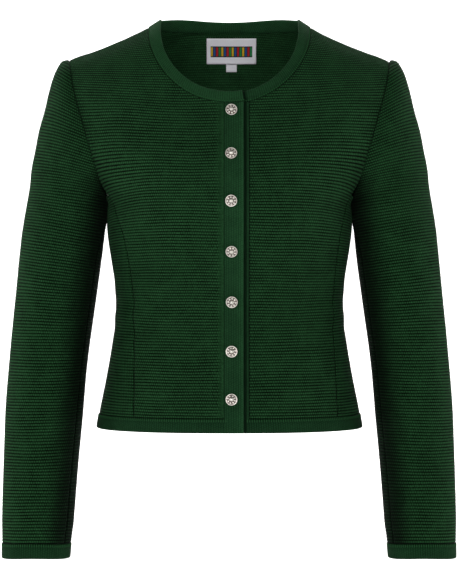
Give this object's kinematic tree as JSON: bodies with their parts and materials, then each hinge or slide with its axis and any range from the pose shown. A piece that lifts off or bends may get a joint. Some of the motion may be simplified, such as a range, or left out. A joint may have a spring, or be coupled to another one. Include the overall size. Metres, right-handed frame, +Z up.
{
  "type": "knit cardigan",
  "caption": "Women's fitted round-neck knit cardigan with long set-in sleeves and a buttoned front, in its worn, hollow form.",
  "frame": {"origin": "midway between the two points where the shoulder seams meet the neckband, where the wearer's shoulders or a hanger hold the garment", "axes": "+X towards the wearer's left, -Y towards the front, +Z up"},
  "size_m": [0.5452, 0.2407, 0.6504],
  "materials": {
    "knit": "matte",
    "knit_band": "matte",
    "metal": "satin",
    "woven_label": "satin"
  },
  "bodies": {
    "root": {"back": "knit", "front_right": "knit", "front_left": "knit", "side_right": "knit", "side_left": "knit", "sleeve_right": "knit", "sleeve_left": "knit", "cuff_right": "knit_band", "cuff_left": "knit_band", "hem_band": "knit_band", "neckband": "knit_band", "placket_right": "knit_band", "placket_left": "knit_band", "button_1": "metal", "button_2": "metal", "button_3": "metal", "button_4": "metal", "button_5": "metal", "button_6": "metal", "button_7": "metal", "neck_label": "woven_label", "size_tab": "woven_label"}
  },
  "joints": []
}
